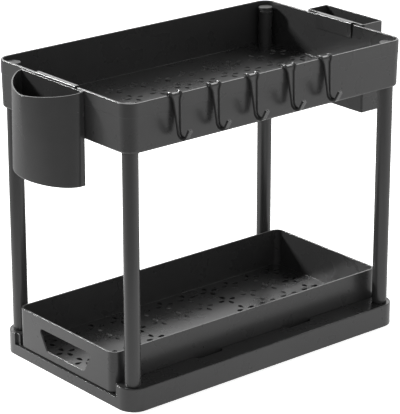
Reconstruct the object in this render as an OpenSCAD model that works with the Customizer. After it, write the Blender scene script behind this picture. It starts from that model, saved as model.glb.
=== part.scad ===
// Two-tier organizer for the space under a sink.
// A base with a sliding drawer carries an upper tray on four round posts.
// A cup, a caddy and five hooks hang on the upper tray's rim.
// X is the width, Y the length with the handle end at -Y, and Z is up.

/* [Base] */
// Length of the base
base_l = 390; // [350:1:430]
// Width of the base
base_w = 230.2; // [218:0.1:250]
// Height of the base
base_h = 26.1; // [23:0.1:32]
// Corner radius of the base
base_r = 19.6; // [16:0.1:24]
// Thickness of the base's outer wall and channel walls
base_wall = 2.2; // [1.8:0.1:2.8]
// Thickness of the ledges and of the channel floor
deck_t = 2.2; // [1.6:0.1:2.8]
// How far the ledges lie below the rim
ledge_drop = 0.8; // [0.4:0.1:2]
// Height of the channel floor
floor_z = 12.4; // [9:0.1:15]
// Width of the drawer channel
channel_w = 172; // [160:0.5:174]
// How far the channel stops short of the rear end
channel_back = 4.2; // [4:0.1:10]
// How much wider than the channel the mouth in the front wall is, each side
mouth_step = 6; // [3:0.1:9]
// Depth of the mouth, front to back
mouth_d = 3; // [2.9:0.1:5]
// Length of each notch in the ledges, at the channel
notch_l = 42; // [30:0.5:50]
// Depth of each notch
notch_d = 5.75; // [3:0.05:8]
// Distance of each notch from the middle
notch_y = 65; // [50:0.5:80]
// Width of the windows in the channel floor
window_w = 128; // [100:1:140]
// Length of the middle window
window_mid = 86; // [70:1:100]
// Length of the front and rear windows
window_end = 67; // [50:1:72]
// Length of the bars between the windows
window_bar = 45; // [35:1:52]
// Corner radius of the windows
window_r = 4; // [2:0.5:8]
// Thickness of the keel under the middle window
keel_t = 3; // [2:0.1:5]

/* [Posts] */
// Visible height of the posts
post_h = 259.2; // [200:0.1:320]
// Radius of the posts
post_r = 8.6; // [8:0.1:9]
// Distance of the post axes from the base's sides
post_inset = 14.8; // [14:0.1:17]
// Bevel round the foot of the posts
post_bevel = 0.7; // [0.3:0.1:1.2]
// Radius of the tenons and plugs
tenon_r = 6; // [5:0.1:6.4]
// Length of the tenons
tenon_l = 14; // [8:0.5:18]
// Gap round a tenon or plug
fit_gap = 0.2; // [0.1:0.05:0.3]

/* [Upper tray] */
// How far the tray's lip lies inside the base's outline
tray_inset = 1; // [0.5:0.05:3]
// Height of the tray
tray_h = 53.5; // [40:0.1:65]
// Corner radius of the tray's lip
tray_r = 14.7; // [12:0.1:18]
// Thickness of the tray's wall
tray_wall = 1.6; // [1.2:0.1:2]
// How far the lip stands proud of the wall
lip_out = 1.1; // [0.8:0.1:1.8]
// Height of the lip
lip_h = 15.3; // [8:0.1:20]
// Thickness of the tray's floor
tray_floor = 2.4; // [1.8:0.1:3.2]
// Radius of the tray's bottom edge
tray_edge = 3; // [2.5:0.1:5]
// Radius of the columns over the posts
column_r = 8.2; // [8:0.1:8.6]
// How far the columns stop below the rim
column_drop = 8.8; // [5.5:0.1:12]

/* [Post caps] */
// Radius of a cap's head
cap_r = 8.1; // [7.6:0.1:8.5]
// Height of a cap's head
cap_h = 1.2; // [0.8:0.1:1.8]
// Radius of the neck under the head
cap_neck_r = 7.4; // [6.8:0.1:7.5]
// Height of the neck
cap_neck_h = 3.3; // [2:0.1:3.6]
// Length of the plug
cap_plug_l = 10; // [6:0.5:14]

/* [Flower holes] */
// Spacing of the flowers in the tray
tray_pitch = 34.3; // [30:0.1:45]
// Spacing of the flowers in the drawer
drawer_pitch = 33.3; // [30:0.1:45]
// Distance of a petal's middle from the flower's middle
petal_out = 7.7; // [6:0.1:9]
// Length of a petal
petal_l = 9; // [6:0.1:10]
// Width of a petal
petal_w = 5; // [3:0.1:6]
// Least distance from a flower to a wall
flower_margin = 4; // [3:0.5:8]

/* [Drawer] */
// Height of the drawer
drawer_h = 47.1; // [38:0.1:70]
// Corner radius of the drawer
drawer_r = 10; // [7:0.1:14]
// Thickness of the drawer's wall
drawer_wall = 2; // [1.5:0.1:2.5]
// Thickness of the drawer's floor
drawer_floor = 2.7; // [2:0.1:3.5]
// Radius of the drawer's bottom edge
drawer_edge = 3; // [2:0.1:4]
// Gap between the drawer and each channel wall
side_gap = 0.8; // [0.5:0.1:1.5]
// Gap under the drawer
run_gap = 0.3; // [0.2:0.05:0.6]
// How far the closed drawer lies behind the base's front
drawer_front = 1; // [0.5:0.1:3]
// Gap between the closed drawer and the channel's end
drawer_back = 1; // [0.5:0.1:3]
// Width of the hand hole at its top
hand_top = 89; // [70:0.5:110]
// Width of the hand hole at its bottom
hand_bottom = 70; // [50:0.5:90]
// Height of the hand hole
hand_h = 23.5; // [18:0.1:26]
// Height of the hand hole above the drawer's underside
hand_z = 10.3; // [7:0.1:12]
// Corner radius of the hand hole
hand_r = 3.5; // [2:0.1:6]

/* [Hanging fit] */
// Gap between the tray's rim and what hangs on it
hang_gap = 0.3; // [0.2:0.05:0.5]
// Depth of the tabs inside the rim
leg_l = 16; // [10:0.5:24]
// Thickness of a tab's inner leg at its end
leg_end_t = 0.6; // [0.6:0.1:1]

/* [Cup] */
// Distance of the cup from the middle of the front end
cup_x = -10.6; // [-20:0.1:0]
// Width of the cup
cup_w = 107.6; // [90:0.1:130]
// Length of the cup's straight sides
cup_side = 4.7; // [2:0.1:10]
// Depth of the cup's front curve at the top
cup_curve_top = 36.9; // [30:0.1:50]
// Depth of the cup's front curve at the bottom
cup_curve_bottom = 32; // [24:0.1:44]
// Height of the cup at its back
cup_h = 102.4; // [80:0.1:130]
// How far the cup's back edge lies below the tray's rim
cup_drop = 1; // [0.5:0.1:3]
// Slope of the cup's rim
cup_slope = 0.21; // [0:0.01:0.3]
// Thickness of the cup's wall
cup_wall = 1.8; // [1.4:0.1:2.4]
// Thickness of the cup's floor
cup_floor = 2; // [1.5:0.1:3]
// Height of the bevel round the cup's bottom
cup_bevel = 1.5; // [1:0.1:2.5]
// Width of the cup's tab
cup_tab_w = 68.3; // [50:0.1:75]
// Distance of the tab from the cup's middle
cup_tab_x = 5.95; // [-6:0.05:10]
// Thickness of the cup's tab
cup_tab_t = 1.3; // [1:0.1:2]

/* [Caddy] */
// Distance of the caddy from the middle of the rear end
caddy_x = 2.5; // [-12:0.5:12]
// Width of the caddy
caddy_w = 93; // [80:0.5:130]
// Depth of the caddy
caddy_d = 30.4; // [22:0.1:40]
// Height of the caddy
caddy_h = 103.7; // [80:0.1:130]
// Corner radius of the caddy
caddy_r = 2.6; // [2.6:0.1:8]
// Thickness of the caddy's wall
caddy_wall = 1.8; // [1.4:0.1:2.4]
// Radius of the caddy's bottom edge
caddy_edge = 1.2; // [0.8:0.1:1.3]
// How far the caddy's rim stands above the tray's
caddy_rise = 1.9; // [1.6:0.1:4]
// Width of the caddy's tab
caddy_tab_w = 58; // [40:0.5:66]
// Distance of the tab from the caddy's middle
caddy_tab_x = 2; // [-5:0.5:5]

/* [Hooks] */
// Spacing of the hooks
hook_pitch = 51.9; // [30:0.1:60]
// Distance of the first hook from the tray's front end
hook_first = 61.6; // [20:0.1:80]
// Width of a hook at the rim
hook_top_w = 15; // [10:0.1:20]
// Width of a hook at its neck
hook_neck_w = 10.6; // [8:0.1:16]
// How far the neck lies below the rim
hook_neck = 4; // [4:0.5:12]
// Width of a hook at its bend
hook_end_w = 5.2; // [5.2:0.1:8]
// Distance between a hook's leg and the lip at the rim
hook_stand = 0.6; // [0:0.1:1.5]
// Thickness of a hook's web
hook_t = 1.2; // [1:0.1:1.6]
// Height of a hook's edge flanges
hook_flange = 2; // [1:0.1:2.6]
// Width of a hook's edge flanges
hook_edge = 2.2; // [1.4:0.1:2.4]
// How far the lowest point lies below the tray's rim
hook_drop = 45.5; // [36:0.1:55]
// Outer radius of the bend
hook_r = 8.4; // [6:0.1:10]
// Distance of the bend's middle from the tray's lip
hook_out = 13.3; // [11:0.1:16]
// Angle that the bend turns through
hook_turn = 150; // [110:1:165]
// Length of the straight tip
hook_tip = 9.5; // [5:0.1:12]
// Radius of the bends over the rim
hook_bend = 1.5; // [1:0.1:2]

/* [Hidden] */
$fn = 64;
CHARCOAL = "#3d3e40";
GRAPHITE = "#4c4d50";
// Every cut runs this far past the faces it opens
cut = 1;
// Corners of a petal's outline
petal_sides = 10;
// Half the widest value of the petal's curve, sin(t) * sin(t / 2)
petal_peak = 0.77;
// Flowers left out along the drawer's middle row, counted out from the middle
blank_reach = 1;
// Points along half of the cup's front curve
cup_steps = 24;
// Thickness of the slices that the cup's faces run between
slice = 0.5;
// Exponents of the cup's front curve at the top and at the bottom
cup_power_top = 1.5;
cup_power_bottom = 1.9;
// Steps in a hook's small and large bends
bend_steps = 4;
turn_steps = 12;

ledge_z = base_h - ledge_drop;
channel_end = base_l / 2 - channel_back;
post_x = base_w / 2 - post_inset;
post_y = base_l / 2 - post_inset;
socket_r = tenon_r + fit_gap;
boss_r = socket_r + base_wall;
boss_z = ledge_z - tenon_l - deck_t;

tray_w = base_w - 2 * tray_inset;
tray_l = base_l - 2 * tray_inset;
tray_z = ledge_z + post_h;
rim_z = tray_z + tray_h;
rim_t = tray_wall + lip_out;
column_top = rim_z - column_drop;

drawer_w = channel_w - 2 * side_gap;
drawer_l = base_l / 2 - drawer_front + channel_end - drawer_back;
drawer_y = (channel_end - drawer_back - base_l / 2 + drawer_front) / 2;
drawer_z = floor_z + run_gap;

// Where the inside leg of anything that hangs on the rim starts, from the lip's outer face
leg_in = rim_t + hang_gap;

// A rounded rectangle, centred
module round_rect(w, l, r) {
    square([w - 2 * r, l], center = true);
    square([w, l - 2 * r], center = true);
    for (x = [-1, 1], y = [-1, 1])
        translate([x * (w / 2 - r), y * (l / 2 - r)])
            circle(r = r);
}

// A slab of the 2D shape given, between two heights
module slab(z0, z1) {
    translate([0, 0, z0])
        linear_extrude(z1 - z0)
            children();
}

// A block with round corners and a round bottom edge
module tub(w, l, h, r, edge) {
    slab(edge, h)
        round_rect(w, l, r);
    slab(0, edge)
        round_rect(w - 2 * edge, l - 2 * edge, r - edge);
    for (s = [-1, 1]) {
        translate([s * (w / 2 - edge), 0, edge])
            rotate([90, 0, 0])
                cylinder(r = edge, h = l - 2 * r, center = true);
        translate([0, s * (l / 2 - edge), edge])
            rotate([0, 90, 0])
                cylinder(r = edge, h = w - 2 * r, center = true);
    }
    for (x = [-1, 1], y = [-1, 1])
        translate([x * (w / 2 - r), y * (l / 2 - r), edge])
            rotate_extrude()
                translate([r - edge, 0])
                    circle(r = edge);
}

// A wall round a rounded rectangle up to height h, with a round top edge
module round_wall(w, l, r, t, z0, h) {
    slab(z0, h - t / 2)
        difference() {
            round_rect(w, l, r);
            round_rect(w - 2 * t, l - 2 * t, r - t);
        }
    translate([0, 0, h - t / 2]) {
        for (s = [-1, 1]) {
            translate([s * (w - t) / 2, 0, 0])
                rotate([90, 0, 0])
                    cylinder(d = t, h = l - 2 * r, center = true);
            translate([0, s * (l - t) / 2, 0])
                rotate([0, 90, 0])
                    cylinder(d = t, h = w - 2 * r, center = true);
        }
        for (x = [-1, 1], y = [-1, 1])
            translate([x * (w / 2 - r), y * (l / 2 - r), 0])
                rotate([0, 0, x * y > 0 ? (x > 0 ? 0 : 180) : (x > 0 ? -90 : 90)])
                    rotate_extrude(angle = 90)
                        translate([r - t / 2, 0])
                            circle(d = t);
    }
}

// The children at each post's place
module at_posts() {
    for (x = [-1, 1], y = [-1, 1])
        translate([x * post_x, y * post_y, 0])
            children();
}

// A petal, its narrow end towards the flower's middle
module petal() {
    polygon([for (i = [0 : petal_sides - 1])
        let (t = 360 * i / petal_sides)
        [petal_out - petal_l / 2 * cos(t), petal_w / 2 / petal_peak * sin(t) * sin(t / 2)]]);
}

// How many flowers fit on each side of the middle one
function reach(room, pitch) =
    floor((room / 2 - petal_out - petal_l / 2 - flower_margin) / pitch);

// A grid of four-petal flowers for a floor of w by l
module flowers(w, l, pitch, blanks) {
    for (i = [-reach(w, pitch) : reach(w, pitch)], j = [-reach(l, pitch) : reach(l, pitch)])
        if (i != 0 || abs(j) > blanks)
            translate([i * pitch, j * pitch])
                for (a = [0 : 90 : 270])
                    rotate(a)
                        petal();
}

// Plan of the drawer channel with its side notches, grown by g
module channel_plan(g) {
    l = channel_end + base_l / 2 + cut;
    translate([0, channel_end + g - (l + g) / 2])
        square([channel_w + 2 * g, l + g], center = true);
    for (x = [-1, 1], y = [-1, 1])
        translate([x * channel_w / 2, y * notch_y])
            polygon([[-x * cut, -notch_l / 2 - g], [-x * cut, notch_l / 2 + g],
                [x * (notch_d + g), notch_l / 2 - notch_d + g],
                [x * (notch_d + g), -notch_l / 2 + notch_d - g]]);
}

// Windows in the channel floor
module windows() {
    round_rect(window_w, window_mid, window_r);
    for (s = [-1, 1])
        translate([0, s * (window_mid / 2 + window_bar + window_end / 2)])
            round_rect(window_w, window_end, window_r);
}

// Base with ledges, drawer channel, post sockets and a keel
module base_tray() {
    color(CHARCOAL)
        difference() {
            union() {
                round_wall(base_w, base_l, base_r, base_wall, 0, base_h);
                slab(ledge_z - deck_t, ledge_z)
                    difference() {
                        base_inside();
                        channel_plan(0);
                    }
                slab(floor_z - deck_t, ledge_z)
                    intersection() {
                        base_inside();
                        difference() {
                            channel_plan(base_wall);
                            channel_plan(0);
                        }
                    }
                slab(floor_z - deck_t, floor_z)
                    difference() {
                        intersection() {
                            base_inside();
                            channel_plan(base_wall);
                        }
                        windows();
                    }
                slab(0, ledge_z)
                    intersection() {
                        base_inside();
                        ledge_ends();
                    }
                at_posts()
                    slab(boss_z, ledge_z)
                        circle(r = boss_r);
                slab(0, floor_z)
                    square([keel_t, window_mid + window_bar], center = true);
            }
            at_posts()
                slab(ledge_z - tenon_l - fit_gap, ledge_z + cut)
                    circle(r = socket_r);
            translate([0, -base_l / 2, 0])
                slab(floor_z, base_h + cut)
                    square([channel_w + 2 * mouth_step, 2 * mouth_d], center = true);
        }
}

// Outline that the inner pieces of the base reach, half way into its wall
module base_inside() {
    round_rect(base_w - base_wall, base_l - base_wall, base_r - base_wall / 2);
}

// Solid ends of the ledges beside the mouth
module ledge_ends() {
    end_w = mouth_step + base_wall;
    for (s = [-1, 1])
        translate([s * (channel_w + end_w) / 2, -base_l / 2 + (mouth_d + base_wall) / 2])
            square([end_w, mouth_d + base_wall], center = true);
}

// Sliding drawer with a hand hole in its front
module drawer() {
    inner_w = drawer_w - 2 * drawer_wall;
    inner_l = drawer_l - 2 * drawer_wall;
    color(CHARCOAL)
        translate([0, drawer_y, drawer_z])
            difference() {
                difference() {
                    union() {
                        difference() {
                            tub(drawer_w, drawer_l, drawer_h - drawer_wall / 2, drawer_r, drawer_edge);
                            slab(drawer_floor, drawer_h)
                                round_rect(inner_w, inner_l, drawer_r - drawer_wall);
                        }
                        round_wall(drawer_w, drawer_l, drawer_r, drawer_wall, drawer_h / 2, drawer_h);
                    }
                    translate([0, -drawer_l / 2, 0])
                        rotate([90, 0, 0])
                            linear_extrude(4 * drawer_wall, center = true)
                                hand_hole();
                }
                slab(-cut, drawer_floor + cut)
                    flowers(inner_w, inner_l, drawer_pitch, blank_reach);
            }
}

// Outward unit normal of the edge from a to b, in a counter-clockwise outline
function edge_normal(a, b) = [b[1] - a[1], a[0] - b[0]] / norm(b - a);

// A convex outline with round corners, from the middles of its corner circles
module round_poly(c, r) {
    n = len(c);
    polygon([for (i = [0 : n - 1])
        let (before = edge_normal(c[(i + n - 1) % n], c[i]), after = edge_normal(c[i], c[(i + 1) % n]))
        each [c[i] + r * before, c[i] + r * after]]);
    for (p = c)
        translate(p)
            circle(r = r);
}

// Hand hole, wider at its top
module hand_hole() {
    b = hand_bottom / 2 - hand_r;
    t = hand_top / 2 - hand_r;
    z0 = hand_z + hand_r;
    z1 = hand_z + hand_h - hand_r;
    round_poly([[-b, z0], [b, z0], [t, z1], [-t, z1]], hand_r);
}

// Upper tray with its lip and corner columns
module upper_tray() {
    wall_w = tray_w - 2 * lip_out;
    wall_l = tray_l - 2 * lip_out;
    wall_r = tray_r - lip_out;
    inner_w = wall_w - 2 * tray_wall;
    inner_l = wall_l - 2 * tray_wall;
    color(CHARCOAL)
        translate([0, 0, tray_z])
            difference() {
                difference() {
                    union() {
                        difference() {
                            tub(wall_w, wall_l, tray_h - rim_t, wall_r, tray_edge);
                            slab(tray_floor, tray_h)
                                round_rect(inner_w, inner_l, wall_r - tray_wall);
                        }
                        round_wall(tray_w, tray_l, tray_r, rim_t, tray_h - lip_h, tray_h);
                        at_posts()
                            slab(0, tray_h - column_drop)
                                circle(r = column_r);
                    }
                    at_posts()
                        slab(-cut, tray_h)
                            circle(r = socket_r);
                }
                slab(-cut, tray_floor + cut)
                    flowers(inner_w, inner_l, tray_pitch, -1);
            }
}

// Round post with a tenon at each end
module post(x, y) {
    color(CHARCOAL)
        translate([x * post_x, y * post_y, ledge_z])
            rotate_extrude()
                polygon([[0, -tenon_l], [tenon_r, -tenon_l], [tenon_r, 0],
                    [post_r - post_bevel, 0], [post_r, post_bevel],
                    [post_r, post_h], [tenon_r, post_h], [tenon_r, post_h + tenon_l], [0, post_h + tenon_l]]);
}

// Cap that plugs the column above a post
module post_cap(x, y) {
    color(GRAPHITE)
        translate([x * post_x, y * post_y, column_top])
            rotate_extrude()
                polygon([[0, -cap_plug_l], [tenon_r, -cap_plug_l], [tenon_r, 0],
                    [cap_neck_r, 0], [cap_neck_r, cap_neck_h],
                    [cap_r, cap_neck_h], [cap_r, cap_neck_h + cap_h / 2],
                    [cap_r - cap_h / 2, cap_neck_h + cap_h], [0, cap_neck_h + cap_h]]);
}

// Tab that goes over the rim: +Y is into the tray, Y = 0 is the back of what hangs,
// Z = 0 is the tray's rim, and back_t is the thickness of the wall that carries it
module rim_tab(w, t, back_t) {
    translate([-w / 2, -back_t, hang_gap])
        cube([w, back_t + hang_gap + leg_in + t, t]);
    translate([0, hang_gap + leg_in, hang_gap + t])
        rotate([90, 0, 90])
            linear_extrude(w, center = true)
                polygon([[0, 0], [t, 0], [t, -t], [leg_end_t, -leg_l - hang_gap - t], [0, -leg_l - hang_gap - t]]);
}

// Plan of the cup: a flat back, short straight sides and a curved front
module cup_plan(hw, side, curve, p) {
    polygon(concat([[hw, 0]],
        [for (i = [0 : 2 * cup_steps])
            let (t = 90 * i / cup_steps, c = cos(t), s = sin(t))
            [hw * sign(c) * pow(abs(c), 2 / p), -side - curve * pow(abs(s), 2 / p)]],
        [[-hw, 0]]));
}

// Cup that hangs on the front end
module cup() {
    hw = cup_w / 2;
    color(CHARCOAL)
        translate([cup_x, -tray_l / 2 - hang_gap, rim_z - cup_drop - cup_h]) {
            difference() {
                hull() {
                    linear_extrude(slice)
                        cup_plan(hw - cup_bevel, cup_side, cup_curve_bottom - cup_bevel, cup_power_bottom);
                    slab(cup_bevel, cup_bevel + slice)
                        cup_plan(hw, cup_side, cup_curve_bottom, cup_power_bottom);
                    slab(cup_h - slice, cup_h)
                        cup_plan(hw, cup_side, cup_curve_top, cup_power_top);
                }
                translate([0, -cup_wall, 0])
                    hull() {
                        slab(cup_floor, cup_floor + slice)
                            cup_plan(hw - cup_wall, cup_side - cup_wall,
                                cup_curve_bottom - cup_wall, cup_power_bottom);
                        slab(cup_h + cut, cup_h + cut + slice)
                            cup_plan(hw - cup_wall, cup_side - cup_wall,
                                cup_curve_top - cup_wall, cup_power_top);
                    }
                translate([0, 0, cup_h])
                    rotate([atan(cup_slope), 0, 0])
                        translate([-cup_w, -cup_h, 0])
                            cube([2 * cup_w, 2 * cup_h, cup_h]);
            }
            translate([cup_tab_x, 0, cup_h + cup_drop]) {
                rim_tab(cup_tab_w, cup_tab_t, cup_wall);
                translate([-cup_tab_w / 2, -cup_wall, -cup_drop - cup_wall])
                    cube([cup_tab_w, cup_wall, cup_drop + cup_wall + hang_gap + cup_tab_t]);
            }
        }
}

// Caddy that hangs on the rear end
module caddy() {
    color(CHARCOAL)
        translate([caddy_x, tray_l / 2 + hang_gap, rim_z + caddy_rise - caddy_h]) {
            translate([0, caddy_d / 2, 0])
                difference() {
                    tub(caddy_w, caddy_d, caddy_h, caddy_r, caddy_edge);
                    slab(caddy_wall, caddy_h + cut)
                        round_rect(caddy_w - 2 * caddy_wall, caddy_d - 2 * caddy_wall, caddy_r - caddy_wall);
                }
            translate([caddy_tab_x, 0, caddy_h - caddy_rise])
                mirror([0, 1, 0])
                    rim_tab(caddy_tab_w, caddy_rise - hang_gap, caddy_wall);
        }
}

// Points of an arc in steps
function arc(c, r, a0, a1, n) = [for (i = [0 : n])
    let (a = a0 + (a1 - a0) * i / n)
    c + r * [cos(a), sin(a)]];

// Left-hand unit normal of a path at point i
function path_normal(p, i) =
    let (d = p[min(i + 1, len(p) - 1)] - p[max(i - 1, 0)])
    [-d[1], d[0]] / norm(d);

// A strip along a path, from right-hand offset a to left-hand offset b
module strip(p, a, b) {
    polygon(concat([for (i = [0 : len(p) - 1]) p[i] + b * path_normal(p, i)],
        [for (i = [len(p) - 1 : -1 : 0]) p[i] - a * path_normal(p, i)]));
}

// Side view of a hook, X out from the lip and Y up from the rim, along its web's middle
function hook_path() =
    let (half = hook_t / 2,
        inner = -leg_in - half,
        outer = hang_gap + hook_stand + half,
        top = hang_gap + half,
        turn_r = hook_r - half,
        middle = [hook_out, hook_r - hook_drop],
        tip_from = middle + turn_r * [cos(180 + hook_turn), sin(180 + hook_turn)],
        tip_way = [-sin(180 + hook_turn), cos(180 + hook_turn)])
    concat([[inner, -leg_l]],
        arc([inner + hook_bend, top - hook_bend], hook_bend, 180, 90, bend_steps),
        arc([outer - hook_bend, top - hook_bend], hook_bend, 90, 0, bend_steps),
        arc(middle, turn_r, 180, 180 + hook_turn, turn_steps),
        [tip_from + hook_tip * tip_way]);

// Front view of a hook, narrowed from the rim to its bend, less e along each edge
module hook_front(e) {
    side = [[hook_end_w / 2 - e, -2 * hook_drop], [hook_end_w / 2 - e, hook_r - hook_drop],
        [hook_neck_w / 2 - e, -hook_neck], [hook_top_w / 2 - e, 0], [hook_top_w / 2 - e, hook_drop]];
    polygon(concat(side, [for (i = [len(side) - 1 : -1 : 0]) [-side[i][0], side[i][1]]]));
}

// Front outline of a hook, as a block along X
module hook_block(e) {
    rotate([90, 0, 90])
        linear_extrude(8 * hook_r, center = true)
            hook_front(e);
}

// Side outline of a hook, as a block along Y
module hook_side(a, b, w) {
    rotate([90, 0, 0])
        linear_extrude(w, center = true)
            strip(hook_path(), a, b);
}

// Hook with a web and two edge flanges, number i of the row
module hook(i) {
    color(CHARCOAL)
        translate([tray_w / 2, hook_first - tray_l / 2 + (i - 1) * hook_pitch, rim_z]) {
            intersection() {
                hook_side(hook_t / 2, hook_t / 2, 2 * hook_top_w);
                hook_block(0);
            }
            intersection() {
                hook_side(hook_t / 2, hook_t / 2 + hook_flange, 2 * hook_top_w);
                difference() {
                    hook_block(0);
                    hook_block(hook_edge);
                }
            }
        }
}

base_tray();
drawer();
upper_tray();
post(-1, -1);  // post_front_left
post(1, -1);  // post_front_right
post(-1, 1);  // post_rear_left
post(1, 1);  // post_rear_right
post_cap(-1, -1);  // post_cap_front_left
post_cap(1, -1);  // post_cap_front_right
post_cap(-1, 1);  // post_cap_rear_left
post_cap(1, 1);  // post_cap_rear_right
cup();
caddy();
hook(1);  // hook_1
hook(2);  // hook_2
hook(3);  // hook_3
hook(4);  // hook_4
hook(5);  // hook_5
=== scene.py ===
import math

import bmesh
import bpy
from mathutils import Matrix, Vector


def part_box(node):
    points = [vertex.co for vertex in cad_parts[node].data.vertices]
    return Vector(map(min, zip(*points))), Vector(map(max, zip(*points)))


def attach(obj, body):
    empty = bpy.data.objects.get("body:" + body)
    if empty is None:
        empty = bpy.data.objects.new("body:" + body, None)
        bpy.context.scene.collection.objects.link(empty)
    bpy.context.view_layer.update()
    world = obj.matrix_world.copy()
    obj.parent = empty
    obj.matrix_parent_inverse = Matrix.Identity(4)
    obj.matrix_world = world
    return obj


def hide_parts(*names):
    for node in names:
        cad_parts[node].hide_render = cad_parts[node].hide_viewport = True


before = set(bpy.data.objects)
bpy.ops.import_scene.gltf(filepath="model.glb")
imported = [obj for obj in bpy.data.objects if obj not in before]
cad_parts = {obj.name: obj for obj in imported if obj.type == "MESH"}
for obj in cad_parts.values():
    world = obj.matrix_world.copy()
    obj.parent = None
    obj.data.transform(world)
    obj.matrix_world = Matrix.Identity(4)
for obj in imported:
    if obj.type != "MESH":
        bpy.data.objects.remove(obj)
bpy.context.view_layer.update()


# Upper tray.
# One moulding of satin charcoal polypropylene: a thin wall under a proud lip, a floor
# pierced by four-petal flowers, and a hollow column in each corner that takes a post.
def satin_plastic(name, grey, roughness, grain, stretch=1.0):
    """Moulded plastic: a fine grain over a faint clouding that is drawn out along Z by stretch."""
    plastic_ior, cloud_scale, pore_scale, pore_depth = 1.49, 30.0, 1500.0, 0.0002
    tone_spread, gloss_spread = 0.07, 0.04
    material = bpy.data.materials.new(name)
    material.use_nodes = True
    nodes, join = material.node_tree.nodes, material.node_tree.links.new
    shader = nodes["Principled BSDF"]
    shader.inputs["IOR"].default_value = plastic_ior
    place = nodes.new("ShaderNodeTexCoord")
    drawn = nodes.new("ShaderNodeMapping")
    drawn.inputs["Scale"].default_value = (1, 1, 1 / stretch)
    clouds = nodes.new("ShaderNodeTexNoise")
    clouds.inputs["Scale"].default_value = cloud_scale
    clouds.inputs["Detail"].default_value = 3.0
    tones = nodes.new("ShaderNodeValToRGB")
    spread = (0.3, 1 - tone_spread), (0.7, 1 + tone_spread)
    for element, (position, tone) in zip(tones.color_ramp.elements, spread):
        element.position = position
        element.color = (grey * tone, grey * tone, grey * tone, 1)
    gloss = nodes.new("ShaderNodeMapRange")
    gloss.inputs["To Min"].default_value = roughness - gloss_spread
    gloss.inputs["To Max"].default_value = roughness + gloss_spread
    pores = nodes.new("ShaderNodeTexNoise")
    pores.inputs["Scale"].default_value = pore_scale
    pores.inputs["Detail"].default_value = 2.0
    bump = nodes.new("ShaderNodeBump")
    bump.inputs["Strength"].default_value = grain
    bump.inputs["Distance"].default_value = pore_depth
    join(place.outputs["Object"], drawn.inputs["Vector"])
    join(drawn.outputs["Vector"], clouds.inputs["Vector"])
    join(place.outputs["Object"], pores.inputs["Vector"])
    join(clouds.outputs["Fac"], tones.inputs["Fac"])
    join(tones.outputs["Color"], shader.inputs["Base Color"])
    join(clouds.outputs["Fac"], gloss.inputs["Value"])
    join(gloss.outputs["Result"], shader.inputs["Roughness"])
    join(pores.outputs["Fac"], bump.inputs["Height"])
    join(bump.outputs["Normal"], shader.inputs["Normal"])
    return material


def rounded_loop(low, high, radius, inset, steps=10):
    """Points round the box from low to high, with round corners, moved inwards by the inset."""
    least_radius = 0.0003
    x0, x1, y0, y1 = low.x + inset, high.x - inset, low.y + inset, high.y - inset
    r = max(radius - inset, least_radius)
    corners = ((x1 - r, y1 - r), (x0 + r, y1 - r), (x0 + r, y0 + r), (x1 - r, y0 + r))
    turns = [(k, math.radians(90 * (k + i / steps))) for k in range(4) for i in range(steps + 1)]
    return [(corners[k][0] + r * math.cos(a), corners[k][1] + r * math.sin(a)) for k, a in turns]


def arc(u, v, radius, start, end, steps=5):
    """Points of an arc about (u, v), from one angle in degrees to another."""
    angles = [math.radians(start + (end - start) * i / steps) for i in range(steps + 1)]
    return [(u + radius * math.cos(a), v + radius * math.sin(a)) for a in angles]


def loft(mesh, loops, closed=False, capped=False):
    """Faces from each loop of points to the next one."""
    rings = [[mesh.verts.new(p) for p in loop] for loop in loops]
    for low, high in zip(rings, rings[1:] + rings[:1] if closed else rings[1:]):
        for i in range(len(low)):
            j = (i + 1) % len(low)
            mesh.faces.new((low[i], low[j], high[j], high[i]))
    if capped:
        mesh.faces.new(reversed(rings[0]))
        mesh.faces.new(rings[-1])


def rim(thick, top, soft):
    """Profile over a rim, up its outer edge, across and down its inner edge."""
    return arc(soft, top - soft, soft, 180, 90, 3) + arc(thick - soft, top - soft, soft, 90, 0, 3)


def box_wall(mesh, low, high, radius, profile):
    """A wall round the box from low to high. The closed profile is in inset and height."""
    loft(mesh, [[(x, y, low.z + z) for x, y in rounded_loop(low, high, radius, inset)]
                for inset, z in profile], closed=True)


def lathe(mesh, x, y, profile, steps=48):
    """Faces round the upright axis at (x, y), through a profile of radius and height."""
    turns = [math.radians(360 * i / steps) for i in range(steps)]
    rings = [[mesh.verts.new((x + r * math.cos(a), y + r * math.sin(a), z))
              for a in (turns if r > 0 else turns[:1])] for r, z in profile]
    for low, high in zip(rings, rings[1:]):
        for i in range(steps):
            j = (i + 1) % steps
            corners = (low[i % len(low)], low[j % len(low)],
                       high[j % len(high)], high[i % len(high)])
            mesh.faces.new(list(dict.fromkeys(corners)))


def finish_piece(mesh, name, material, slot, body, *nodes, crease=38):
    """Makes the mesh a piece with a finish, which stands for CAD nodes and rides on their body."""
    bmesh.ops.recalc_face_normals(mesh, faces=mesh.faces)
    data = bpy.data.meshes.new(name)
    mesh.to_mesh(data)
    mesh.free()
    data.materials.clear()
    data.materials.append(material)
    data.shade_smooth()
    data.set_sharp_from_angle(angle=math.radians(crease))
    piece = bpy.data.objects.new(name, data)
    bpy.context.scene.collection.objects.link(piece)
    flats = piece.modifiers.new("flats", "WEIGHTED_NORMAL")
    flats.keep_sharp = True
    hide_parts(*nodes)
    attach(piece, body)
    return piece


def wired(tree, kind, inputs, **settings):
    """A node with its inputs linked or set, and its first output that is in use."""
    node = tree.nodes.new(kind)
    for key, value in settings.items():
        setattr(node, key, value)
    for key, value in inputs.items():
        if isinstance(value, bpy.types.NodeSocket):
            tree.links.new(value, node.inputs[key])
        else:
            node.inputs[key].default_value = value
    return next(socket for socket in node.outputs if socket.enabled)


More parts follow.
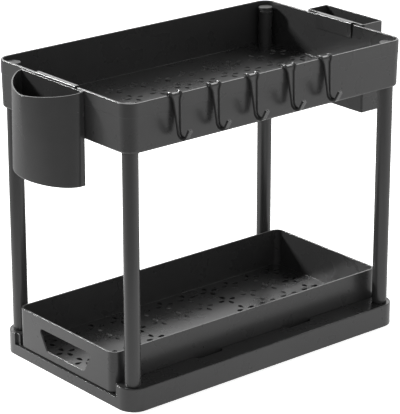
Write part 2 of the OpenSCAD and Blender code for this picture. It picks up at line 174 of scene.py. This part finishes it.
def flower_tree():
    """Geometry Nodes for a floor inside an outline, pierced by a grid of four-petal flowers."""
    tree = bpy.data.node_groups.new("flower_floor", "GeometryNodeTree")
    tree.interface.new_socket("Floor", in_out="OUTPUT", socket_type="NodeSocketGeometry")
    for label, kind in (("Outline", "Geometry"), ("Depth", "Float"), ("Pitch", "Float"),
                        ("Columns", "Int"), ("Rows", "Int"), ("Blank Reach", "Float"),
                        ("Petal Reach", "Float"), ("Petal Length", "Float"),
                        ("Petal Width", "Float"), ("Plastic", "Material")):
        tree.interface.new_socket(label, in_out="INPUT", socket_type="NodeSocket" + kind)
    given = tree.nodes.new("NodeGroupInput").outputs

    def add(kind, inputs, **settings):
        return wired(tree, kind, inputs, **settings)

    def sum_of(operation, *values):
        return add("ShaderNodeMath", dict(enumerate(values)), operation=operation)

    # One petal: a closed curve with its narrow end towards the flower's middle
    sides, widest = 14, 0.77
    index = add("GeometryNodeInputIndex", {})
    turn = sum_of("MULTIPLY", index, 2 * math.pi / sides)
    half_length = sum_of("MULTIPLY", given["Petal Length"], 0.5)
    along = sum_of("SUBTRACT", given["Petal Reach"],
                   sum_of("MULTIPLY", half_length, sum_of("COSINE", turn)))
    swell = sum_of("MULTIPLY", sum_of("SINE", turn), sum_of("SINE", sum_of("MULTIPLY", turn, 0.5)))
    across = sum_of("MULTIPLY", sum_of("MULTIPLY", given["Petal Width"], 0.5 / widest), swell)
    circle = add("GeometryNodeCurvePrimitiveCircle", {"Resolution": sides}, mode="RADIUS")
    petal = add("GeometryNodeSetPosition", {
        "Geometry": circle, "Position": add("ShaderNodeCombineXYZ", {"X": along, "Y": across})})

    # Four petals to a flower, and the flowers on a grid with the middle ones left out
    four = add("GeometryNodeMeshLine", {"Count": 4, "Offset": (0, 0, 0)}, mode="OFFSET")
    flower = add("GeometryNodeInstanceOnPoints", {
        "Points": four, "Instance": petal,
        "Rotation": add("ShaderNodeCombineXYZ", {"Z": sum_of("MULTIPLY", index, math.pi / 2)})})
    size = [sum_of("MULTIPLY", sum_of("SUBTRACT", given[label], 1.0), given["Pitch"])
            for label in ("Columns", "Rows")]
    grid = add("GeometryNodeMeshGrid", {
        "Size X": size[0], "Size Y": size[1],
        "Vertices X": given["Columns"], "Vertices Y": given["Rows"]})
    where = tree.nodes.new("ShaderNodeSeparateXYZ")
    tree.links.new(add("GeometryNodeInputPosition", {}), where.inputs[0])
    near = [sum_of("LESS_THAN", sum_of("ABSOLUTE", where.outputs[axis]), limit)
            for axis, limit in (("X", sum_of("MULTIPLY", given["Pitch"], 0.5)),
                                ("Y", given["Blank Reach"]))]
    spots = add("GeometryNodeDeleteGeometry", {
        "Geometry": grid, "Selection": sum_of("MULTIPLY", *near)}, domain="POINT")
    flowers = add("GeometryNodeRealizeInstances", {
        "Geometry": add("GeometryNodeInstanceOnPoints", {"Points": spots, "Instance": flower})})

    # The outline filled round the petals, and given its depth downwards
    border = add("GeometryNodeMeshToCurve", {"Mesh": given["Outline"]})
    curves = tree.nodes.new("GeometryNodeJoinGeometry")
    tree.links.new(flowers, curves.inputs[0])
    tree.links.new(border, curves.inputs[0])
    top = add("GeometryNodeFillCurve", {"Curve": curves.outputs[0]}, mode="TRIANGLES")
    down = add("ShaderNodeCombineXYZ", {"Z": sum_of("MULTIPLY", given["Depth"], -1.0)})
    below = add("GeometryNodeExtrudeMesh", {
        "Mesh": top, "Offset": down, "Offset Scale": 1.0, "Individual": False}, mode="FACES")
    whole = tree.nodes.new("GeometryNodeJoinGeometry")
    tree.links.new(below, whole.inputs[0])
    tree.links.new(add("GeometryNodeFlipFaces", {"Mesh": top}), whole.inputs[0])
    welded = add("GeometryNodeMergeByDistance", {
        "Geometry": whole.outputs[0], "Distance": weld})
    plain = add("GeometryNodeRealizeInstances", {"Geometry": welded})
    painted = tree.nodes.new("GeometryNodeSetMaterial")
    tree.links.new(plain, painted.inputs["Geometry"])
    tree.links.new(given["Plastic"], painted.inputs["Material"])
    tree.links.new(painted.outputs[0], tree.nodes.new("NodeGroupOutput").inputs[0])
    return tree


def pierced_floor(mesh, tree, outline, top_z, settings, soft_edge=0.0003, crease=60):
    """Adds to the mesh the floor that the tree makes inside the outline, with soft hole edges."""
    edges = [(i, (i + 1) % len(outline)) for i in range(len(outline))]
    middle = [sum(p[axis] for p in outline) / len(outline) for axis in (0, 1)]
    data = bpy.data.meshes.new("outline")
    data.from_pydata([(x - middle[0], y - middle[1], 0) for x, y in outline], edges, [])
    sheet = bpy.data.objects.new("outline", data)
    bpy.context.scene.collection.objects.link(sheet)
    holes = sheet.modifiers.new("holes", "NODES")
    holes.node_group = tree
    for socket in tree.interface.items_tree:
        if socket.name in settings:
            holes[socket.identifier] = settings[socket.name]
    soft = sheet.modifiers.new("soft_edges", "BEVEL")
    soft.width = soft_edge
    soft.segments = 2
    soft.limit_method = "ANGLE"
    soft.angle_limit = math.radians(crease)
    plain = bpy.data.meshes.new_from_object(
        sheet.evaluated_get(bpy.context.evaluated_depsgraph_get()))
    plain.transform(Matrix.Translation((middle[0], middle[1], top_z)))
    bpy.data.objects.remove(sheet)
    mesh.from_mesh(plain)


weld, floor_skin = 0.00001, 0.00005
tray_plastic = satin_plastic("tray_charcoal", 0.034, 0.28, 0.03)
tray_low, tray_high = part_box("upper_tray")
tray_h = tray_high.z - tray_low.z
tray_r, tray_edge, tray_floor, tray_fillet = 0.0147, 0.003, 0.0024, 0.0004
lip_out, lip_h, lip_soft, tray_wall = 0.0011, 0.0153, 0.0004, 0.0016
rim_r, rim_soft = (lip_out + tray_wall) / 2, 0.0008
column_r, socket_r, column_soft, column_foot = 0.0082, 0.0062, 0.0006, 0.0001
column_inset, column_drop, tray_pitch = 0.0138, 0.0088, 0.0343
flower_spread = {"Petal Reach": 0.0077, "Petal Length": 0.009, "Petal Width": 0.005,
                 "Columns": 5, "Rows": 11}

tray = bmesh.new()
box_wall(tray, tray_low, tray_high, tray_r,
         arc(lip_out + tray_edge, tray_edge, tray_edge, 270, 180)
         + arc(lip_soft, tray_h - lip_h + lip_soft, lip_soft, 270, 180, 3)
         + rim(2 * rim_r, tray_h, rim_soft)
         + arc(2 * rim_r + tray_fillet, tray_floor + tray_fillet, tray_fillet, 180, 270, 4)
         + [(2 * rim_r + tray_fillet, 0)])
flowers = flower_tree()
pierced_floor(tray, flowers,
              rounded_loop(tray_low, tray_high, tray_r, 2 * rim_r + tray_fillet / 2),
              tray_low.z + tray_floor,
              {**flower_spread, "Depth": tray_floor - floor_skin, "Pitch": tray_pitch,
               "Blank Reach": 0.0, "Plastic": tray_plastic})
for x in (tray_low.x + column_inset, tray_high.x - column_inset):
    for y in (tray_low.y + column_inset, tray_high.y - column_inset):
        foot, head = tray_low.z + column_foot, tray_high.z - column_drop
        lathe(tray, x, y, [(socket_r, foot), (column_r, foot)]
              + arc(column_r - column_soft, head - column_soft, column_soft, 0, 90, 3)
              + [(socket_r, head), (socket_r, foot)])
bmesh.ops.remove_doubles(tray, verts=tray.verts, dist=weld / 2)
finish_piece(tray, "tray_moulding", tray_plastic, "body_plastic", "frame", "upper_tray")


# Drawer.
# A deep charcoal tub with a hand hole in its front end; its floor has the same flowers,
# with three left out of the middle row. It slides on the floor of the base's channel.
drawer_plastic = satin_plastic("drawer_charcoal", 0.034, 0.28, 0.03)
drawer_low, drawer_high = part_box("drawer")
drawer_h = drawer_high.z - drawer_low.z
drawer_r, drawer_edge, drawer_wall, drawer_floor = 0.010, 0.003, 0.002, 0.0027
drawer_fillet, drawer_pitch, blank_reach = 0.0004, 0.0333, 0.04
hand_top, hand_bottom, hand_h, hand_z, hand_r = 0.089, 0.070, 0.0235, 0.0103, 0.0035
hand_soft, hand_crease, near_wall, near_hole = 0.0006, 1.0, 0.0001, 0.0005

tub = bmesh.new()
box_wall(tub, drawer_low, drawer_high, drawer_r,
         arc(drawer_edge, drawer_edge, drawer_edge, 270, 180)
         + rim(drawer_wall, drawer_h, rim_soft / 2)
         + arc(drawer_wall + drawer_fillet, drawer_floor + drawer_fillet, drawer_fillet, 180, 270, 4)
         + [(drawer_wall + drawer_fillet, 0)])
bmesh.ops.recalc_face_normals(tub, faces=tub.faces)
wall_data = bpy.data.meshes.new("drawer_wall")
tub.to_mesh(wall_data)
tub.free()
wall = bpy.data.objects.new("drawer_wall", wall_data)

cutter = bmesh.new()
half_bottom, half_top = hand_bottom / 2 - hand_r, hand_top / 2 - hand_r
hole_low, hole_high = hand_z + hand_r, hand_z + hand_h - hand_r
lean = math.degrees(math.atan2(half_top - half_bottom, hole_high - hole_low))
hole = (arc(-half_bottom, hole_low, hand_r, 180 + lean, 270)
        + arc(half_bottom, hole_low, hand_r, 270, 360 - lean)
        + arc(half_top, hole_high, hand_r, -lean, 90)
        + arc(-half_top, hole_high, hand_r, 90, 180 + lean))
loft(cutter, [[(u, drawer_low.y + depth, drawer_low.z + v) for u, v in hole]
              for depth in (-drawer_wall, 2 * drawer_wall)], capped=True)
bmesh.ops.recalc_face_normals(cutter, faces=cutter.faces)
cutter_data = bpy.data.meshes.new("hand_hole")
cutter.to_mesh(cutter_data)
cutter.free()
hand_hole = bpy.data.objects.new("hand_hole", cutter_data)
for made in (wall, hand_hole):
    bpy.context.scene.collection.objects.link(made)
cut = wall.modifiers.new("hand_hole", "BOOLEAN")
cut.operation = "DIFFERENCE"
cut.solver = "EXACT"
cut.object = hand_hole
drawer = bmesh.new()
drawer.from_mesh(bpy.data.meshes.new_from_object(
    wall.evaluated_get(bpy.context.evaluated_depsgraph_get())))
for made in (wall, hand_hole):
    bpy.data.objects.remove(made)
front_y, hole_x = drawer_low.y + drawer_wall + near_wall, hand_top / 2 + near_hole
hole_z0 = drawer_low.z + hand_z - near_hole
hole_z1 = drawer_low.z + hand_z + hand_h + near_hole
hole_edges = [e for e in drawer.edges if e.is_manifold and e.calc_face_angle() > hand_crease
              and all(v.co.y < front_y and abs(v.co.x) < hole_x and hole_z0 < v.co.z < hole_z1
                      for v in e.verts)]
bmesh.ops.bevel(drawer, geom=hole_edges, offset=hand_soft, segments=3, affect="EDGES",
                profile=0.5)
pierced_floor(drawer, flowers,
              rounded_loop(drawer_low, drawer_high, drawer_r, drawer_wall + drawer_fillet / 2),
              drawer_low.z + drawer_floor,
              {**flower_spread, "Depth": drawer_floor - floor_skin, "Pitch": drawer_pitch,
               "Blank Reach": blank_reach, "Plastic": drawer_plastic})
finish_piece(drawer, "drawer_moulding", drawer_plastic, "body_plastic", "drawer", "drawer")


# Base tray.
# The low charcoal moulding that everything stands on: two ledges with sockets for the
# posts, and between them the channel that the drawer slides in, with its low front step.
base_plastic = satin_plastic("base_charcoal", 0.034, 0.28, 0.03)
base_soft, base_flat, base_crease = 0.0004, math.radians(0.5), math.radians(50)
base = bmesh.new()
base.from_mesh(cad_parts["base_tray"].data)
bmesh.ops.remove_doubles(base, verts=base.verts, dist=weld)
bmesh.ops.dissolve_limit(base, angle_limit=base_flat, verts=base.verts, edges=base.edges)
sharp = [e for e in base.edges if e.is_manifold and e.calc_face_angle() > base_crease]
bmesh.ops.bevel(base, geom=sharp, offset=base_soft, segments=2, affect="EDGES", profile=0.5,
                clamp_overlap=True)
finish_piece(base, "base_moulding", base_plastic, "body_plastic", "frame", "base_tray")


# Posts.
# Four round charcoal posts of one diameter, with a small bevel round the foot. A thinner
# tenon at each end is pressed into the ledge below and the tray's column above.
post_plastic = satin_plastic("post_charcoal", 0.034, 0.26, 0.02, stretch=12.0)
post_r, foot_bevel, tenon_r, tenon_l = 0.0086, 0.0007, 0.006, 0.014
post_names = [f"post_{end}_{side}" for end in ("front", "rear") for side in ("left", "right")]
for name in post_names:
    low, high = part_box(name)
    post = bmesh.new()
    foot, head = low.z + tenon_l, high.z - tenon_l
    lathe(post, (low.x + high.x) / 2, (low.y + high.y) / 2,
          [(0, low.z), (tenon_r, low.z), (tenon_r, foot)]
          + arc(post_r - foot_bevel, foot + foot_bevel, foot_bevel, 270, 360, 3)
          + [(post_r, head), (tenon_r, head), (tenon_r, high.z), (0, high.z)], steps=64)
    finish_piece(post, name + "_tube", post_plastic, "post_plastic", "frame", name)


# Post caps.
# Small round plugs in a duller plastic, pressed into the tops of the columns; a plain
# disc head stands on a narrower neck.
cap_plastic = satin_plastic("cap_grey", 0.034, 0.55, 0.02)
cap_r, cap_soft, neck_r, neck_h, plug_r, plug_l = 0.0081, 0.0005, 0.0074, 0.0033, 0.006, 0.010
for name in [n.replace("post_", "post_cap_") for n in post_names]:
    low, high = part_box(name)
    cap = bmesh.new()
    seat = low.z + plug_l
    lathe(cap, (low.x + high.x) / 2, (low.y + high.y) / 2,
          [(0, low.z), (plug_r, low.z), (plug_r, seat), (neck_r, seat), (neck_r, seat + neck_h),
           (cap_r, seat + neck_h)]
          + arc(cap_r - cap_soft, high.z - cap_soft, cap_soft, 0, 90, 4) + [(0, high.z)])
    finish_piece(cap, name + "_head", cap_plastic, "cap_plastic", "frame", name)


# Cup.
# A half-round charcoal cup that hangs on the tray's front end by a wide tab over the rim.
# Its back is flat, its front swells out, and its rim slopes down away from the tray.
def cup_plan(half_w, side, curve, power, back=0.0, steps=28):
    """Points round the cup's plan: a flat back at y = back, straight sides, a curved front."""
    front = []
    for i in range(2 * steps + 1):
        a = math.pi / 2 * i / steps
        c, s = math.cos(a), math.sin(a)
        across = math.copysign(half_w * abs(c) ** (2 / power), c)
        front.append((across, back - side - curve * s ** (2 / power)))
    return [(half_w, back)] + front + [(-half_w, back)]


def mixed(a, b, share):
    """The loop of points that lies between two others."""
    return [tuple(p + (q - p) * share for p, q in zip(u, v)) for u, v in zip(a, b)]


def ways_along(path):
    """The unit direction of the path at each of its points."""
    return [(after - before).normalized()
            for before, after in zip(path[:1] + path, path[1:] + path[-1:])]


def strip_outline(path, half, end_half):
    """Closed outline of a strip along the path with round ends, half as thick on each side."""
    path = [Vector(p) for p in path]
    ways = ways_along(path)
    sides = [Vector((-way.y, way.x)) for way in ways]
    turns = [math.radians(a) for a in (36, 72, 108, 144)]
    tail = [path[-1] + end_half * (sides[-1] * math.cos(a) + ways[-1] * math.sin(a)) for a in turns]
    nose = [path[0] - half * (sides[0] * math.cos(a) + ways[0] * math.sin(a)) for a in turns]
    halves = [half] * (len(path) - 1) + [end_half]
    left = [p + h * side for p, h, side in zip(path, halves, sides)]
    right = [p - h * side for p, h, side in zip(path, halves, sides)]
    return left + tail + right[::-1] + nose


def rim_tab(mesh, x0, x1, back, way, reach, low_z, top_z, leg_z, thick, bend=0.001, soft=0.0004):
    """A strip that rises at y = back, crosses the rim by reach the given way and goes down inside.
    There its leg thins towards the end, on the side that faces the tray's middle."""
    least_half = 0.0001
    thinned = (thick - leg_end_t) / 2
    path = ([(0, low_z)] + arc(bend, top_z - thick / 2 - bend, bend, 180, 90)
            + arc(reach - bend, top_z - thick / 2 - bend, bend, 90, 0)
            + [(reach - thinned, leg_z + leg_end_t / 2)])
    rows = ((x0, thick / 2 - soft), (x0 + soft / 4, thick / 2 - soft / 2), (x0 + soft, thick / 2),
            (x1 - soft, thick / 2), (x1 - soft / 4, thick / 2 - soft / 2), (x1, thick / 2 - soft))
    loft(mesh, [[(x, back + way * v.x, v.y)
                 for v in strip_outline(path, half, max(half - thinned, least_half))]
                for x, half in rows], capped=True)


cup_plastic = satin_plastic("cup_charcoal", 0.034, 0.26, 0.02)
cup_low, cup_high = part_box("cup")
cup_half, cup_side, cup_wall, cup_floor, cup_bevel = 0.0538, 0.0047, 0.0018, 0.002, 0.0015
cup_ends = (0.032, 1.9), (0.0369, 1.5)
cup_h, cup_drop, cup_slope, hang_gap = 0.1024, 0.001, 0.21, 0.0003
cup_foot, cup_brim, cup_inner_foot, cup_fillet = 0.02, 0.996, 0.035, 0.0015
cup_tab_w, cup_tab_x, cup_tab_t, leg_l, leg_end_t = 0.0683, 0.00595, 0.0013, 0.016, 0.0006
cup_x = cup_low.x + cup_half
cup_y = tray_low.y - hang_gap


def cup_loop(share, wall, lift=0.0):
    """The cup's outline at a share of its height, inside a wall's thickness, on its slope."""
    bottom, top = [cup_plan(cup_half - wall, cup_side - wall, curve - wall, power, -wall)
                   for curve, power in cup_ends]
    loop = []
    for (x0, y0), (x1, y1) in zip(bottom, top):
        height = share * (cup_h + cup_slope * (y0 + share * (y1 - y0)))
        opened = height / cup_h
        loop.append((cup_x + x0 + opened * (x1 - x0), cup_y + y0 + opened * (y1 - y0),
                     cup_low.z + height + lift))
    return loop


cup = bmesh.new()
heights = [cup_foot + (cup_brim - cup_foot) * i / 10 for i in range(11)]
soft_bottom = [cup_loop(0.0, cup_bevel - across, up)
               for across, up in arc(0, cup_bevel, cup_bevel, 270, 345, 3)]
outside = [cup_loop(s, 0.0) for s in heights]
top_out, top_in = outside[-1], cup_loop(heights[-1], cup_wall)
soft_rim = []
for share, rise in ((0.05, 0.00025), (0.2, 0.0004), (0.8, 0.0004), (0.95, 0.00025)):
    soft_rim.append([(x, y, z + rise) for x, y, z in mixed(top_out, top_in, share)])
inside = [cup_loop(s, cup_wall) for s in reversed(heights[1:])]
floor_in, foot_in = [[(x, y, cup_low.z + z) for x, y, _ in cup_loop(share, wall)]
                     for share, wall, z in ((cup_foot, cup_wall + cup_fillet, cup_floor),
                                            (cup_inner_foot, cup_wall, cup_floor + cup_fillet))]
loft(cup, soft_bottom + outside + soft_rim + inside + [foot_in, floor_in], capped=True)
tab_back = cup_y - cup_tab_t / 2
tab_reach = 2 * hang_gap + 2 * rim_r + cup_tab_t
tab_x = cup_x + cup_tab_x
rim_tab(cup, tab_x - cup_tab_w / 2, tab_x + cup_tab_w / 2, tab_back, 1, tab_reach,
        tray_high.z - cup_drop - cup_wall, cup_high.z, tray_high.z - leg_l, cup_tab_t)
finish_piece(cup, "cup_moulding", cup_plastic, "body_plastic", "cup", "cup")


# Caddy.
# A narrow charcoal box that hangs on the tray's rear end in the same way as the cup.
# Its corners are nearly square, and its rim stands just above the tray's.
caddy_plastic = satin_plastic("caddy_charcoal", 0.034, 0.28, 0.02)
caddy_low, caddy_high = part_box("caddy")
caddy_d, caddy_r, caddy_wall, caddy_edge, caddy_fillet = 0.0304, 0.0026, 0.0018, 0.0012, 0.001
caddy_tab_w, caddy_tab_x, caddy_tab_t = 0.058, 0.002, 0.0016
caddy_h = caddy_high.z - caddy_low.z
caddy_box = Vector((caddy_low.x, caddy_high.y - caddy_d, caddy_low.z)), caddy_high

caddy = bmesh.new()
box_wall(caddy, *caddy_box, caddy_r,
         arc(caddy_edge, caddy_edge, caddy_edge, 270, 180)
         + rim(caddy_wall, caddy_h, rim_soft / 2)
         + arc(caddy_wall + caddy_fillet, caddy_wall + caddy_fillet, caddy_fillet, 180, 270, 3)
         + [(caddy_wall + caddy_fillet, 0)])
caddy_floor = rounded_loop(*caddy_box, caddy_r, caddy_wall + caddy_fillet)
loft(caddy, [[(x, y, caddy_low.z + z) for x, y in caddy_floor] for z in (0, caddy_wall)],
     capped=True)
tab_middle = (caddy_low.x + caddy_high.x) / 2 + caddy_tab_x
rim_tab(caddy, tab_middle - caddy_tab_w / 2, tab_middle + caddy_tab_w / 2,
        caddy_box[0].y + caddy_tab_t / 2, -1, 2 * hang_gap + 2 * rim_r + caddy_tab_t,
        caddy_high.z - 2 * caddy_wall, caddy_high.z, tray_high.z - leg_l, caddy_tab_t)
finish_piece(caddy, "caddy_moulding", caddy_plastic, "body_plastic", "caddy", "caddy")


# Hooks.
# Five glossy charcoal mouldings that hang on the long side's rim. Each is a channel: a web
# with a flange along both edges, narrowed from the rim down to a J bend with a straight tip.
hook_plastic = satin_plastic("hook_charcoal", 0.034, 0.24, 0.01)
hook_t, hook_flange, hook_edge, hook_soft, hook_groove = 0.0012, 0.002, 0.0022, 0.00045, 0.0008
hook_drop, hook_r, hook_out, hook_turn, hook_tip = 0.0455, 0.0084, 0.0133, 150, 0.0095
hook_bend, hook_stand, hook_count = 0.0015, 0.0006, 5
hook_widths = ((-1.0, 0.0052), (hook_r - hook_drop, 0.0052), (-0.004, 0.0106),
               (0.0, 0.015), (1.0, 0.015))
tip_steps, tip_shares = (0.4, 0.75, 0.9, 0.96, 1.0), (1.0, 0.97, 0.86, 0.7)


def hook_width(z):
    """Width of a hook at a height from the rim."""
    for (z0, w0), (z1, w1) in zip(hook_widths, hook_widths[1:]):
        if z <= z1:
            return w0 + (w1 - w0) * (z - z0) / (z1 - z0)


def hook_path():
    """The web's middle line, out from the lip and up from the rim, from inner leg to tip."""
    half = hook_t / 2
    inner, top = -2 * rim_r - hang_gap - half, hang_gap + half
    outer = hang_gap + hook_stand + half
    middle, radius = (hook_out, hook_r - hook_drop), hook_r - half
    bends = (arc(inner + hook_bend, top - hook_bend, hook_bend, 180, 90)
             + arc(outer - hook_bend, top - hook_bend, hook_bend, 90, 0))
    start = Vector(bends[-1])
    turn_in = Vector((middle[0] - radius, middle[1]))
    leg = [tuple(start.lerp(turn_in, k / 8)) for k in range(1, 8)]
    bow = arc(*middle, radius, 180, 180 + hook_turn, 20)
    end = math.radians(180 + hook_turn)
    tip = [(bow[-1][0] - math.sin(end) * hook_tip * k, bow[-1][1] + math.cos(end) * hook_tip * k)
           for k in tip_steps]
    return [(inner, -leg_l), (inner, -leg_l / 2)] + bends + leg + bow + tip


def channel(width):
    """Outline of the channel section: across from the middle, and up from the web's middle."""
    back, front = -hook_t / 2, hook_t / 2 + hook_flange
    half, bead = width / 2, hook_edge / 2
    groove = min(hook_groove, half - hook_edge)
    half_side = (arc(half - hook_soft, back + hook_soft, hook_soft, 270, 360, 3)
                 + arc(half - bead, front - bead, bead, 0, 180, 8)
                 + arc(half - hook_edge - groove, hook_t / 2 + groove, groove, 360, 270, 4))
    return half_side + [(-u, v) for u, v in reversed(half_side)]


path = [Vector(p) for p in hook_path()]
narrowing = [1.0] * (len(path) - len(tip_shares)) + list(tip_shares)
for number in range(1, hook_count + 1):
    name = f"hook_{number}"
    low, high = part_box(name)
    middle_y = (low.y + high.y) / 2
    hook = bmesh.new()
    loops = []
    for p, way, narrowed in zip(path, ways_along(path), narrowing):
        loops.append([(tray_high.x + p.x - way.y * v, middle_y + u * narrowed,
                       tray_high.z + p.y + way.x * v) for u, v in channel(hook_width(p.y))])
    loft(hook, loops, capped=True)
    finish_piece(hook, name + "_moulding", hook_plastic, "hook_plastic", name, name)


# Floor.
# A seamless white paper sweep, wide enough to fill the view from every side; it keeps
# the soft shadow under the base. What it sends to the plastic varies round the compass
# and in three rings about the middle.
def lobes(tree, direction, strengths):
    """A strength that swells about each azimuth in degrees, by the level part of a direction."""
    level = wired(tree, "ShaderNodeVectorMath", {0: direction, 1: (1, 1, 0)},
                  operation="MULTIPLY")
    level = wired(tree, "ShaderNodeVectorMath", {0: level}, operation="NORMALIZE")
    total = 0.0
    for azimuth, strength in strengths:
        way = math.cos(math.radians(azimuth)), math.sin(math.radians(azimuth)), 0
        facing = wired(tree, "ShaderNodeVectorMath", {0: level, 1: way}, operation="DOT_PRODUCT")
        lit = wired(tree, "ShaderNodeMath", {0: facing, 1: 0.0}, operation="MAXIMUM")
        swell = wired(tree, "ShaderNodeMath", {0: lit, 1: 2.0}, operation="POWER")
        total = wired(tree, "ShaderNodeMath", {0: swell, 1: strength, 2: total},
                      operation="MULTIPLY_ADD")
    return total


def blend(tree, value, start, end, low, high, kind="SMOOTHSTEP"):
    """Low where the value is at its start, high where it is at its end."""
    return wired(tree, "ShaderNodeMapRange", {"Value": value, "From Min": start, "From Max": end,
                                              "To Min": low, "To Max": high}, interpolation_type=kind)


def unseen(tree, value, seen):
    """The value for all rays but the camera's own, which find what is seen instead."""
    in_view = tree.nodes.new("ShaderNodeLightPath").outputs["Is Camera Ray"]
    return blend(tree, in_view, 0.0, 1.0, value, seen, "LINEAR")


near_glow = (40, 0.5), (100, 0.6), (220, 1.0), (280, 0.37), (340, 0.66)
far_glow = (40, 0.8), (100, 0.06), (280, 0.28), (340, 0.03)
outer_glow = (40, 2.0), (100, 0.06), (280, 0.28)
far_ring, outer_ring, dark_ring = (0.35, 0.7), (1.5, 2.2), (3.5, 4.5)
seen_glow, seen_tone, bounce_tone = 0.75, 0.95, 0.3
sweep_paper = bpy.data.materials.new("sweep_paper")
sweep_paper.use_nodes = True
paper_tree = sweep_paper.node_tree
paper = paper_tree.nodes["Principled BSDF"]
paper.inputs["Roughness"].default_value = 0.9
paper.inputs["Specular IOR Level"].default_value = 0.0
paper.inputs["Emission Color"].default_value = (1, 1, 1, 1)
spot = paper_tree.nodes.new("ShaderNodeTexCoord").outputs["Object"]
away = wired(paper_tree, "ShaderNodeVectorMath", {0: spot}, operation="LENGTH")
glow = lobes(paper_tree, spot, near_glow)
glow = blend(paper_tree, away, *far_ring, glow, lobes(paper_tree, spot, far_glow))
glow = blend(paper_tree, away, *outer_ring, glow, lobes(paper_tree, spot, outer_glow))
glow = blend(paper_tree, away, *dark_ring, glow, 0.0)
paper_tree.links.new(unseen(paper_tree, glow, seen_glow), paper.inputs["Emission Strength"])
paper_tree.links.new(unseen(paper_tree, bounce_tone, seen_tone), paper.inputs["Base Color"])
sweep_half = 7.0
sweep_data = bpy.data.meshes.new("floor")
sweep_data.from_pydata([(-sweep_half, -sweep_half, 0), (sweep_half, -sweep_half, 0),
                        (sweep_half, sweep_half, 0), (-sweep_half, sweep_half, 0)], [], [(0, 1, 2, 3)])
sweep_data.materials.append(sweep_paper)
sweep = bpy.data.objects.new("floor", sweep_data)
bpy.context.scene.collection.objects.link(sweep)


# Lamps.
# A room that is brightest low at the back left and dim overhead, a small hard key from
# the left of the handle end, and two soft lamps high behind the far side for the rims.
room_glow = (40, 0.5), (140, 2.1), (280, 0.1), (340, 0.72)
roof_glow, roof_start, roof_end = 0.14, 0.6, 0.8
world = bpy.data.worlds.new("studio")
bpy.context.scene.world = world
world.use_nodes = True
room_tree = world.node_tree
room = room_tree.nodes["Background"]
room.inputs["Color"].default_value = (1, 1, 1, 1)
sky_way = room_tree.nodes.new("ShaderNodeTexCoord").outputs["Generated"]
height = wired(room_tree, "ShaderNodeVectorMath", {0: sky_way, 1: (0, 0, 1)},
               operation="DOT_PRODUCT")
walls_glow = lobes(room_tree, sky_way, room_glow)
level = blend(room_tree, height, roof_start, roof_end, walls_glow, roof_glow)
room_tree.links.new(unseen(room_tree, level, 1.0), room.inputs["Strength"])


def softbox(name, place, width, height, watts, aim=(0, 0, 0.1)):
    """A rectangular lamp that faces a point."""
    lamp = bpy.data.lights.new(name, "AREA")
    lamp.shape = "RECTANGLE"
    lamp.size, lamp.size_y, lamp.energy = width, height, watts
    holder = bpy.data.objects.new(name, lamp)
    bpy.context.scene.collection.objects.link(holder)
    holder.location = place
    holder.rotation_euler = (Vector(aim) - holder.location).to_track_quat("-Z", "Y").to_euler()


softbox("key", (-2.59, -1.68, 1.95), 0.3, 0.6, 168)
softbox("rim", (-0.62, 1.91, 2.33), 2.6, 1.3, 22)
softbox("end_rim", (-2.19, 0.89, 1.95), 1.4, 1.2, 5)


# Camera at the photograph's angle.
azimuth, elevation = math.radians(49.929), math.radians(19.612)
distance, target = 2.44375, Vector((0, 0, 0.16845))
image_w, image_h = 400, 414
focal_px, axis_px = 2201.55, (202.75, 195.22)
sensor_mm = 36
back = Vector((math.sin(azimuth) * math.cos(elevation), -math.cos(azimuth) * math.cos(elevation),
               math.sin(elevation)))
camera_data = bpy.data.cameras.new("camera")
camera = bpy.data.objects.new("camera", camera_data)
bpy.context.scene.collection.objects.link(camera)
camera.location = target + distance * back
camera.rotation_euler = back.to_track_quat("Z", "Y").to_euler()
camera_data.sensor_fit = "HORIZONTAL"
camera_data.sensor_width = sensor_mm
camera_data.lens = sensor_mm * focal_px / image_w
camera_data.shift_x = (image_w / 2 - axis_px[0]) / image_w
camera_data.shift_y = (axis_px[1] - image_h / 2) / image_w
bpy.context.scene.camera = camera
bpy.context.scene.view_settings.view_transform = "Standard"
